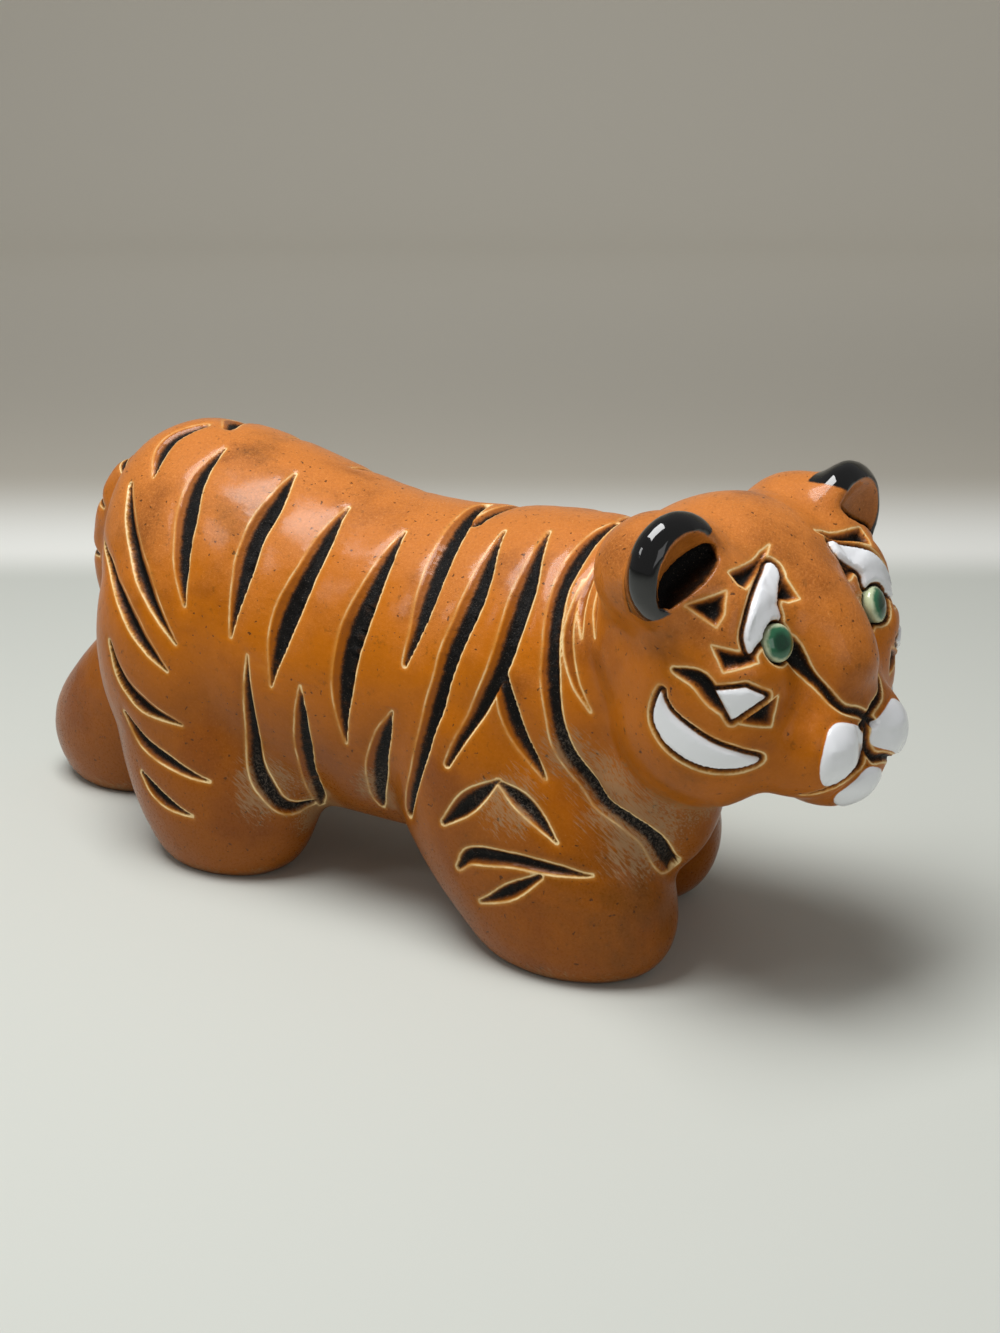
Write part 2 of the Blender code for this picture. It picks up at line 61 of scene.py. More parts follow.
headShape = {  # radii of each mass, and where it lies ahead, to the side and up
    "centre": (81.0, -5.0, 83.0),
    "turn": -11.0,  # degrees, to its right
    "single": (
        ((-4.0, 0.0, 0.0), (31.0, 36.5, 33.0)),  # skull
        ((16.0, 1.0, -13.5), (20.0, 22.0, 18.0)),  # snout
        ((24.4, 0.6, -26.0), (13.6, 12.0, 9.0)),  # chin
        ((-20.0, 3.0, -10.0), (32.0, 36.0, 33.0)),  # neck
    ),
    "paired": (
        ((5.0, 21.0, 8.0), (19.0, 17.0, 19.0)),  # temple
        ((4.8, 20.6, -12.0), (22.0, 18.0, 22.5)),  # cheek
        ((6.4, 21.6, -2.0), (21.0, 17.5, 20.0)),  # side of the face
        ((-3.0, 25.6, 20.0), (16.0, 16.0, 14.0)),  # crown
        ((21.8, 9.7, -18.0), (17.0, 12.5, 12.5)),  # muzzle
    ),
    "bridge": ((6.0, 14.0, 15.0), (16.0, 9.0, 14.0), (25.5, -1.0, 12.0), (31.0, -8.5, 9.0)),
}

earShape = {
    "disc": (7.0, 13.6, 13.6),
    "back": (12.0, 12.0, 12.0),
    "place": (7.0, 33.5, 24.0),
    "leftNearer": 2.2,  # the left ear sits closer to the middle
    "lean": 0.62,  # how far the ears lean out, for each bit up
    "opening": 6.0,  # degrees
    "rim": 4.4,
    "wall": 2.5,
    "hollow": 8.0,
    "hollowAhead": 6.0,
    "chord": -2.2,  # where the hollow starts, from the middle of the disc
    "blackFrom": 9.4,  # the black rim starts this far from the middle of the disc
    "blackBehind": 6.5,  # and ends this far behind it
    "slotUp": -0.8,  # the slot where the hollow meets the head, whose black is painted shade
    "slotHalf": 1.7,
    "slotDepth": 2.2,
}

legShape = {  # shares along the torso and of half its width, and how far the top leans back
    "hindRight": (0.239, -0.557, -0.045),
    "hindLeft": (-0.106, 0.203, 0.211),
    "foreRight": (0.839, -0.608, -0.145),
    "foreLeft": (0.772, 0.519, -0.089),
    "width": 39.0,
    "length": 76.0,
    "height": 72.0,
    "tuck": 1.5,
    "thigh": (31.0, 21.0, 42.0),
    "rumpEnd": (13.0, 19.0, 28.0),
    "chest": (17.0, 17.0, 26.0),
    "tailWidth": 18.0,
}

clay = {
    "roughGrid": 1.5,
    "softJoins": 14,
    "skinGrid": 1.2,
    "skinPasses": 3,
    "fineGrid": 0.62,
    "finePasses": 5,
    "faces": 188000,
    "keepNear": 1.2,  # how close to a cut edge the fine grid stays
}


def headFrame():
    turned = Matrix.Rotation(math.radians(headShape["turn"]), 4, "Z")
    return Matrix.Translation(headShape["centre"]) @ turned


def egg(place, centre, radii):
    bpy.ops.mesh.primitive_uv_sphere_add(segments=32, ring_count=20, radius=1.0)
    made = bpy.context.object
    made.matrix_world = place @ Matrix.Translation(centre) @ Matrix.Diagonal((*radii, 1.0))
    return made


def loft(rings):
    shape = bmesh.new()
    loops = [[shape.verts.new(point) for point in ring] for ring in rings]
    for near, far in zip(loops, loops[1:]):
        for i, corner in enumerate(near):
            j = (i + 1) % len(near)
            shape.faces.new((corner, near[j], far[j], far[i]))
    shape.faces.new(loops[0])
    shape.faces.new(loops[-1])
    bmesh.ops.recalc_face_normals(shape, faces=shape.faces)
    mesh = bpy.data.meshes.new("loft")
    shape.to_mesh(mesh)
    shape.free()
    made = bpy.data.objects.new("loft", mesh)
    bpy.context.scene.collection.objects.link(made)
    rounded = made.modifiers.new("rounded", "SUBSURF")
    rounded.levels = 1
    rounded.render_levels = 1
    return made


def oval(centre, across, up, count=24):
    turns = [2 * math.pi * k / count for k in range(count)]
    return [centre + across * math.cos(t) + up * math.sin(t) for t in turns]


def swept(path):
    points = [Vector(point) for point, radius in path]
    rings = []
    for i, (point, radius) in enumerate(path):
        along = (points[min(i + 1, len(points) - 1)] - points[max(i - 1, 0)]).normalized()
        across = (Vector((0, 1, 0)) - along * along.y).normalized()
        rings.append(oval(points[i], across * radius, across.cross(along) * radius))
    return loft(rings)


def beside(along, aside, up):  # shares of the torso's length, half its width and the rump's height
    ahead = torsoShape["rear"] + along * torsoShape["length"]
    return Vector((ahead, aside * torsoShape["width"] / 2, up * torsoShape["rumpTop"]))


def torso():
    rump, spine, belly = torsoShape["rumpTop"], torsoShape["saddleTop"], torsoShape["bellyBottom"]
    sections = (  # share of the length, top, bottom, share of the width
        (0.0, rump * 0.823, rump * 0.608, 0.28),
        (0.02, rump * 0.899, rump * 0.456, 0.6),
        (0.06, rump * 0.954, rump * 0.321, 0.82),
        (0.14, rump * 0.987, rump * 0.169, 0.96),
        (0.28, rump * 0.949, belly, 1.0),
        (0.43, spine * 1.015, belly, 0.98),
        (0.58, spine * 0.995, belly, 0.96),
        (0.71, spine * 1.034, belly, 1.0),
        (0.82, spine * 1.034, spine * 0.211, 0.99),
        (0.92, spine * 1.01, spine * 0.314, 0.9),
        (1.0, spine * 0.941, spine * 0.451, 0.6),
    )
    rings = []
    for share, top, bottom, width in sections:
        centre = beside(share, 0, 0)
        centre.z = (top + bottom) / 2
        across = Vector((0, width * torsoShape["width"] / 2, 0))
        rings.append(oval(centre, across, Vector((0, 0, (top - bottom) / 2))))
    return loft(rings)


def leg(name, sections):
    along, aside, lean = legShape[name]
    foot = beside(along, aside, 0)
    inward = -math.copysign(legShape["tuck"], aside)
    rings = []
    for height, length, width, back in sections:
        shift = Vector((back * lean * torsoShape["length"], inward * back, height * legShape["height"]))
        across = Vector((0, width * legShape["width"] / 2, 0))
        rings.append(oval(foot + shift, across, Vector((length * legShape["length"], 0, 0))))
    return loft(rings)


def legs():
    hind = (  # shares: height, half length, width, and how much of the lean it takes
        (0.917, 0.29, 0.75, 1.0), (0.639, 0.42, 0.92, 0.7), (0.389, 0.435, 0.99, 0.25),
        (0.208, 0.38, 1.0, 0.04), (0.069, 0.31, 0.88, 0.0), (-0.042, 0.225, 0.7, 0.0),
    )
    fore = (
        (1.0, 0.29, 0.87, 1.0), (0.694, 0.42, 1.0, 0.82), (0.389, 0.5, 1.05, 0.42),
        (0.194, 0.435, 1.02, 0.12), (0.069, 0.355, 0.94, 0.0), (-0.042, 0.265, 0.75, 0.0),
    )
    return [leg(name, hind if "hind" in name else fore)
            for name in ("hindRight", "hindLeft", "foreRight", "foreLeft")]


def tailRoute():
    route = (
        (0.022, 0.025, 0.852, 0.55), (-0.022, 0.025, 0.81, 0.9), (-0.055, 0.025, 0.709, 1.0),
        (-0.072, 0.05, 0.574, 1.0), (-0.078, 0.2, 0.439, 1.0), (-0.072, 0.53, 0.346, 1.0),
        (-0.033, 0.81, 0.295, 1.0), (0.033, 0.99, 0.27, 0.95), (0.1, 1.04, 0.262, 0.65),
    )
    half = legShape["tailWidth"] / 2
    return [(beside(along, aside, up), thick * half) for along, aside, up, thick in route]


def earFrame(side):
    turn = math.radians(side * earShape["opening"])
    opening = Vector((math.cos(turn), math.sin(turn), 0))
    level = Vector((-math.sin(turn) * side, math.cos(turn) * side, 0))
    outward = (level * earShape["lean"] + Vector((0, 0, 1))).normalized()
    axes = Matrix((opening, outward.cross(opening), outward)).transposed().to_4x4()
    ahead, out, up = earShape["place"]
    if side > 0:
        out -= earShape["leftNearer"]
    return headFrame() @ Matrix.Translation((ahead, side * out, up)) @ axes


def head():
    place = headFrame()
    made = [swept([(place @ Vector((ahead, 0, up)), radius) for ahead, up, radius in headShape["bridge"]])]
    for centre, radii in headShape["single"]:
        made.append(egg(place, centre, radii))
    for side in (-1, 1):
        for (ahead, aside, up), radii in headShape["paired"]:
            made.append(egg(place, (ahead, side * aside, up), radii))
        made.append(egg(earFrame(side), (-1, 0, 0), earShape["disc"]))
        made.append(egg(earFrame(side), (-6, 0, -8), earShape["back"]))
    return made


def masses():
    made = [torso(), swept(tailRoute()), *legs(), *head()]
    made.append(egg(Matrix(), beside(0.183, -0.506, 0.481), legShape["thigh"]))
    made.append(egg(Matrix(), beside(0.156, 0.506, 0.481), legShape["thigh"]))
    made.append(egg(Matrix(), beside(0.011, 0.025, 0.59), legShape["rumpEnd"]))
    made.append(egg(Matrix(), beside(0.945, -0.43, 0.422), legShape["chest"]))
    return made


def melted(pieces, name):  # one mesh of all the overlapping masses
    bpy.context.view_layer.update()
    graph = bpy.context.evaluated_depsgraph_get()
    heap = bmesh.new()
    for piece in pieces:
        mesh = bpy.data.meshes.new_from_object(piece.evaluated_get(graph))
        mesh.transform(piece.matrix_world)
        heap.from_mesh(mesh)
        bpy.data.meshes.remove(mesh)
    for piece in pieces:
        bpy.data.objects.remove(piece)
    mesh = bpy.data.meshes.new(name)
    heap.to_mesh(mesh)
    heap.free()
    made = bpy.data.objects.new(name, mesh)
    bpy.context.scene.collection.objects.link(made)
    return made


def remeshed(body, grid, passes):
    step = body.modifiers.new("grid", "REMESH")
    step.mode = "VOXEL"
    step.voxel_size = grid
    smooth = body.modifiers.new("smooth", "SMOOTH")
    smooth.iterations = passes


def applied(piece):
    bpy.context.view_layer.update()
    graph = bpy.context.evaluated_depsgraph_get()
    mesh = bpy.data.meshes.new_from_object(piece.evaluated_get(graph))
    piece.modifiers.clear()
    piece.data = mesh
    return piece


def earHollow(side):  # the outer half of an egg, with a flat face towards the head
    chord = earShape["chord"]
    reach = earShape["disc"][2] - earShape["rim"] - chord
    radii = (earShape["hollow"], earShape["disc"][1] - earShape["wall"], reach)
    hollow = egg(earFrame(side), (earShape["hollowAhead"], 0, chord), radii)
    shape = bmesh.new()
    shape.from_mesh(hollow.data)
    parts = shape.verts[:] + shape.edges[:] + shape.faces[:]
    found = bmesh.ops.bisect_plane(
        shape, geom=parts, plane_co=(0, 0, 0.001), plane_no=(0, 0, 1), clear_inner=True
    )
    rim = [part for part in found["geom_cut"] if isinstance(part, bmesh.types.BMEdge)]
    bmesh.ops.holes_fill(shape, edges=rim)
    bmesh.ops.recalc_face_normals(shape, faces=shape.faces)
    shape.to_mesh(hollow.data)
    shape.free()
    return hollow


def bareAnimal():
    body = melted(masses(), "tigerBody")
    remeshed(body, clay["roughGrid"], clay["softJoins"])
    hollows = [earHollow(side) for side in (-1, 1)]
    for hollow in hollows:
        step = body.modifiers.new("ear", "BOOLEAN")
        step.operation = "DIFFERENCE"
        step.object = hollow
    remeshed(body, clay["skinGrid"], clay["skinPasses"])
    remeshed(body, clay["fineGrid"], clay["finePasses"])
    applied(body)
    for hollow in hollows:
        bpy.data.objects.remove(hollow)
    return body


body = bareAnimal()
print("bare form:", len(body.data.vertices), "points")


# Carving. Marks on the body are (hundredths of the torso length from the rear, degrees round
# from the spine, share of the width); on the head (degrees out from the middle, degrees up).

carving = {
    "depth": 0.85,  # of the half width
    "shoulder": 0.38,  # how far the clay rounds over beside a cut
    "shoulderWidth": 2.6,
    "stripe": 3.5,
    "thigh": 2.5,
    "leg": 1.9,
    "neckRing": 2.8,
    "neckLine": 1.1,
    "face": 1.0,
    "pocketDepth": 1.9,
    "ringDepth": 1.1,
    "leftLag": 4.0,
    "leftRise": 8.0,  # how much nearer the spine the strokes of the left side start, in degrees
    "axisHeight": 62.0,
    "eye": (42.0, 15.0),
    "eyeTilt": 0.32,  # how far the eyes turn out to the sides
    "eyeSocket": 5.2,
    "eyeSocketDepth": 1.5,
    "tailRings": (0.9, 1.8, 2.7, 3.6, 4.5, 5.4, 6.3, 7.1),
}

sideStripes = (
    ((14, 5, 0.5), (11.5, 15, 0.9), (13, 29, 0.1)),
    ((21.5, 14, 0.1), (21, 28, 0.7), (22, 42, 0.9), (23, 55, 0.7), (24.5, 70, 0.1)),
    ((33.5, 13, 0.1), (34, 27, 0.7), (33.5, 42, 0.9), (33.5, 58, 0.75), (33, 78, 0.1)),
    ((44, 19, 0.1), (43.5, 45, 0.9), (41.5, 70, 1.0), (40, 94, 0.1)),
    ((54.5, 24, 0.1), (54, 48, 0.85), (52.5, 74, 1.1), (52, 95, 0.7), (52, 111, 0.1)),
    ((60.5, -6, 0.5), (62.5, 28, 0.95), (63, 57, 0.7), (62, 75, 0.2)),
    ((69.5, 18, 0.1), (70.5, 46, 0.9), (69, 68, 0.8), (67.5, 88, 0.75), (65.5, 107, 0.7), (62.5, 127, 0.5)),
    ((76, 16, 0.1), (77.5, 42, 0.85), (77, 66, 0.8), (74.5, 85, 0.6), (70.5, 105, 0.25)),
    ((77, 70, 0.5), (80, 90, 0.7), (84, 107, 0.1)),
)
neckRing = ((83, 2, 0.3), (82.5, 22, 0.7), (82.5, 40, 0.8), (83.7, 60, 0.8), (85, 78, 0.8), (86.8, 97, 0.8),
            (90.5, 114, 0.8), (95, 120, 0.9), (98, 128, 1.0), (99, 142, 1.0))
leftRingMarks = 6  # the left side hides the end of the ring
neckLines = (
    ((85, 34, 0.2), (85.5, 53, 1.0), (87.5, 68, 0.8), (90, 79, 0.1)),
    ((86, 19, 0.2), (86, 40, 1.0), (87.5, 54, 0.1)),
    ((88, 36, 0.2), (89, 46, 0.8), (90, 54, 0.1)),
)
flankStrokes = (
    ((45, 92, 0.1), (44.5, 112, 1.3), (42.6, 140, 1.3), (40.7, 154, 0.3)),
    ((60.4, 94, 0.1), (57.7, 111, 1.5), (55, 132, 1.3), (54, 142, 0.3)),
)
thighStrokes = (
    ((9, 32, 0.3), (13, 50, 0.9), (18, 67, 0.9), (23.5, 85, 0.1)),
    ((5, 51, 0.3), (12, 70, 0.8), (17, 84, 0.9), (22, 96, 0.1)),
    ((10, 91, 0.3), (12.5, 103, 0.8), (17, 111, 0.9), (23.5, 116, 0.1)),
)
shinStrokes = (
    ((12, 118, 0.3), (15, 124, 1.0), (22, 127, 0.8), (28.5, 130, 0.1)),
    ((15, 133, 0.3), (18.5, 135, 1.0), (25.5, 137, 0.1)),
    ((36, 84, 0.1), (35.5, 110, 1.0), (34.8, 127, 1.2), (37, 138, 1.3), (40.5, 150, 0.5)),
)
shoulderStrokes = (
    ((78.4, 107, 0.1), (74.3, 114, 1.4), (70, 122, 0.4)),
    ((78, 107, 0.1), (82.3, 114, 1.1), (86.7, 123, 0.1)),
    ((72.5, 131, 0.4), (75, 127, 1.1), (81, 126, 1.0), (87, 128, 0.7), (91.5, 131, 0.1)),
    ((76, 136, 0.2), (81, 132, 1.0), (85, 129, 0.4)),
)
faceStrokes = (
    ((36, 12, 3.2), (27, 2.5, 1.8), (20.5, -4, 1.2), (16, -9.5, 1.1), (11.5, -13, 1.0), (4, -15.5, 1.2),
     (-3, -20, 1.4)),
    ((77, 5, 0.6), (69, 3, 2.1), (64, -3, 1.9), (58, -10, 0.3)),
    ((29, -40, 0.3), (23, -37, 1.0), (17, -33.5, 1.1), (10, -31, 1.1), (3, -30, 1.2), (0, -25, 1.1),
     (0, -20, 1.1)),
)
facePockets = (
    ((63, 39), (46, 55), (37, 59), (45, 50), (53, 38), (56, 34), (59, 35)),
    ((32, 45), (24, 33), (33, 32), (41, 33)),
    ((63, 32), (63, 24), (65, 20), (74, 25)),
    ((66, 14), (58, 12.5), (52, 13), (51, 9), (62, 6)),
    ((43, -4), (45, -15), (57, -11), (50, -7)),
)
whitePatches = (
    ((42, 50), (37.5, 49), (35, 44.5), (38, 38), (40.5, 31), (39.5, 24), (46, 19), (51, 15), (54, 12),
     (56, 17), (55, 23), (53, 30), (50, 37), (46, 44)),
    ((64, 0), (55, 1), (47.5, -3), (53, -6), (59, -10)),
    ((81, -3), (84, -12), (81, -18), (76, -22), (69, -25), (61, -26.5), (53, -26.5), (49, -25), (57, -21),
     (64, -18), (71, -14), (77, -10), (80, -6)),
)
padPatch = ((14, -16), (5, -19.5), (2.5, -23), (3, -27), (12, -29), (21, -32.5), (26, -30), (27.5, -25),
            (25, -19.5), (20, -16))
chinPatch = ((9, -35), (1, -32), (-7, -33.5), (-13, -38), (-11, -43.5), (-2, -46.5), (7, -42))


class Carver:
    # lays marks on the bare skin, casting a ray in from outside to find where each one falls

    def __init__(self, skin):
        self.tree = BVHTree.FromObject(skin, bpy.context.evaluated_depsgraph_get())

    def struck(self, middle, outward, away=120.0):
        point, normal, face, distance = self.tree.ray_cast(middle + outward * away, -outward)
        return np.array(point), np.array(normal)

    def onBody(self, station, turn):
        ahead = torsoShape["rear"] + station / 100 * torsoShape["length"]
        turn = math.radians(turn)
        outward = Vector((0, -math.sin(turn), math.cos(turn)))
        return self.struck(Vector((ahead, 0, carving["axisHeight"])), outward)

    def onHead(self, across, up):
        across, up = math.radians(across), math.radians(up)
        level = Vector((math.cos(across), math.sin(across), 0)) * math.cos(up)
        place = headFrame()
        return self.struck(place.translation, place.to_3x3() @ (level + Vector((0, 0, math.sin(up)))))


def throughMarks(marks, steps):
    marks = np.array(marks, float)
    marks = np.vstack([marks[0] * 2 - marks[1], marks, marks[-1] * 2 - marks[-2]])
    spans = len(marks) - 3
    line = []
    for k in range(steps + 1):
        i = min(k * spans // steps, spans - 1)
        t = k * spans / steps - i
        a, b, c, d = marks[i:i + 4]
        line.append((b * 2 + (c - a) * t + (a * 2 - b * 5 + c * 4 - d) * t ** 2
                     + (b * 3 - a - c * 3 + d) * t ** 3) / 2)
    return line


class Groove:
    def __init__(self, place, marks, half, lean, depth, steps=36, dark=True):
        line = throughMarks(marks, steps)
        touches = [place(*mark[:2]) for mark in line]
        self.points = np.array([point for point, normal in touches])
        self.normals = np.array([normal for point, normal in touches])
        wobble = [1 + 0.16 * noise.noise(Vector(point) * 0.12) for point in self.points]
        self.half = np.maximum(0.12, half * np.array([mark[2] for mark in line]) * wobble)
        self.lean = lean
        self.depth = depth
        self.dark = dark

    def measure(self, where, facing):
        reach = self.half.max() + 7
        inBox = (where > self.points.min(0) - reach) & (where < self.points.max(0) + reach)
        near = np.nonzero(inBox.all(1))[0]
        spots = where[near]
        start, step = self.points[:-1], np.diff(self.points, axis=0)
        run = (step ** 2).sum(1) + 1e-9
        best = np.full(len(near), 1e9)
        across = np.zeros(len(near))
        width = np.ones(len(near))
        for k in range(len(step)):
            gap = spots - start[k]
            t = np.clip(gap @ step[k] / run[k], 0, 1)
            gap = gap - t[:, None] * step[k]
            half = self.half[k] + t * (self.half[k + 1] - self.half[k])
            distance = np.sqrt((gap ** 2).sum(1))
            value = distance - half
            value[facing[near] @ self.normals[k] < 0.1] = 1e9
            side = np.cross(self.normals[k], step[k])
            side = side / (np.sqrt((side ** 2).sum()) + 1e-9)
            better = value < best
            best[better] = value[better]
            across[better] = (gap @ side)[better] / half[better]
            width[better] = half[better]
        return near, best, np.clip(across, -1.6, 1.6), width


class Patch:
    def __init__(self, place, corners, curved=False):
        if curved:
            closed = list(corners[-1:]) + list(corners) + list(corners[:2])
            corners = throughMarks(closed, 8 * len(closed))[8:-8]
        corners = np.array(corners, float)
        ring = []
        for a, b in zip(corners, np.roll(corners, -1, axis=0)):
            steps = 1 if curved else 5
            ring += [a + (b - a) * k / steps for k in range(steps)]
        touches = [place(*mark) for mark in ring]
        self.points = np.array([point for point, normal in touches])
        self.normal = np.mean([normal for point, normal in touches], axis=0)
        self.normal /= np.sqrt((self.normal ** 2).sum())

    def measure(self, where, facing):
        inBox = (where > self.points.min(0) - 7) & (where < self.points.max(0) + 7)
        near = np.nonzero(inBox.all(1))[0]
        near = near[facing[near] @ self.normal > 0.15]
        spots = where[near]
        across = np.cross(self.normal, (0.3, 0.2, 1.0))
        across /= np.sqrt((across ** 2).sum())
        up = np.cross(self.normal, across)
        flat = np.stack([spots @ across, spots @ up], 1)
        ring = np.stack([self.points @ across, self.points @ up], 1)
        best = np.full(len(near), 1e9)
        inside = np.zeros(len(near), bool)
        for k in range(len(ring)):
            a, b = self.points[k], self.points[(k + 1) % len(ring)]
            step = b - a
            gap = spots - a
            t = np.clip(gap @ step / (step @ step + 1e-9), 0, 1)
            gap = gap - t[:, None] * step
            best = np.minimum(best, np.sqrt((gap ** 2).sum(1)))
            p, q = ring[k], ring[(k + 1) % len(ring)]
            spans = (p[1] > flat[:, 1]) != (q[1] > flat[:, 1])
            crossing = p[0] + (flat[:, 1] - p[1]) * (q[0] - p[0]) / (q[1] - p[1] + 1e-12)
            inside ^= spans & (flat[:, 0] < crossing)
        return near, np.where(inside, -best, best)


def smooth(values):
    values = np.clip(values, 0, 1)
    return values * values * (3 - 2 * values)


carver = Carver(body)
grooves, pockets, whites, pads, eyes = [], [], [], [], []
for side in (-1, 1):
    def lagging(station, turn):
        if side > 0:
            station += carving["leftLag"] * min(1, max(0, (92 - station) / 36))
            turn -= carving["leftRise"] * min(1, max(0, 1 - turn / 60))
        return carver.onBody(station, -side * turn)

    def ringing(station, turn):
        return carver.onBody(station, -side * turn)

    def facing(across, up):  # past 22 degrees the marks lie up to 3.2 degrees nearer the middle
        nearer = 3.2 * min(1, max(0, (across - 22) / 12)) - 2.2 * min(1, max(0, (across - 58) / 25))
        return carver.onHead(side * (across - nearer), up)

    toFront = -side  # the steep wall of a stripe is its front one
    for marks in sideStripes:
        grooves.append(Groove(lagging, marks, carving["stripe"], toFront, 1.0))
    for marks in thighStrokes:
        grooves.append(Groove(lagging, marks, carving["thigh"], -toFront, 0.9))
    for marks in flankStrokes:
        grooves.append(Groove(lagging, marks, carving["leg"], toFront, 0.9))
    for marks in shoulderStrokes + (shinStrokes if side < 0 else ()):
        grooves.append(Groove(lagging, marks, carving["leg"], 0.2, 0.9))
    ring = neckRing if side < 0 else neckRing[:leftRingMarks]
    grooves.append(Groove(ringing, ring, carving["neckRing"], toFront, 0.9, 56))
    for marks in neckLines:
        grooves.append(Groove(ringing, marks, carving["neckLine"], 0, 0.6, dark=False))
    for marks in faceStrokes:
        grooves.append(Groove(facing, marks, carving["face"], 0, 1.0))
    for corners in facePockets:
        pockets.append(Patch(facing, corners))
    for corners in whitePatches:
        whites.append(Patch(facing, corners, curved=len(corners) > 6))
    pads.append(Patch(facing, padPatch, curved=True))
    point, normal = facing(*carving["eye"])
    normal = normal + carving["eyeTilt"] * side * np.array(headFrame().to_3x3().col[1])
    eyes.append((point, normal / np.sqrt((normal ** 2).sum())))
pads.append(Patch(carver.onHead, chinPatch, curved=True))


def tailRing(at):
    route = tailRoute()
    i = int(at)
    point = route[i][0].lerp(route[i + 1][0], at - i)
    along = (route[i + 1][0] - route[i][0]).normalized()
    middle = beside(0.167, 0, 0)
    middle.z = point.z
    outward = (point - middle).normalized()
    outward = (outward - along * outward.dot(along)).normalized()
    aside = along.cross(outward)

    def around(turn, unused):
        turn = math.radians(turn)
        way = outward * math.cos(turn) + aside * math.sin(turn)
        hit, normal = carver.struck(point, way, legShape["tailWidth"] * 0.8)
        if np.sqrt(((hit - point) ** 2).sum()) > legShape["tailWidth"] * 0.75:  # past the tail
            hit, normal = np.array(point + way * legShape["tailWidth"] * 0.45), np.array(way)
        return hit, normal

    return Groove(around, ((-76, 0, 0.3), (-38, 0, 1.0), (38, 0, 1.0), (76, 0, 0.3)), 1.5, 0, 0.9, 20)


grooves += [tailRing(at) for at in carving["tailRings"]]
print("marks laid:", len(grooves), "grooves,", len(pockets) + len(whites) + len(pads), "patches")


dusty = (  # where the glaze is brushed thin over pale clay: middle and radius
    ((70, -33, 42), 20), ((62, -36, 52), 14), ((52, -36, 58), 10), ((84, -24, 52), 16), ((40, -40, 44), 12),
    ((-38, -34, 28), 14), ((-30, -22, 20), 12), ((-4, -32, 34), 11), ((-26, -28, 26), 9), ((96, -12, 50), 10),
    ((62, 30, 42), 18), ((-30, 30, 24), 14),
)


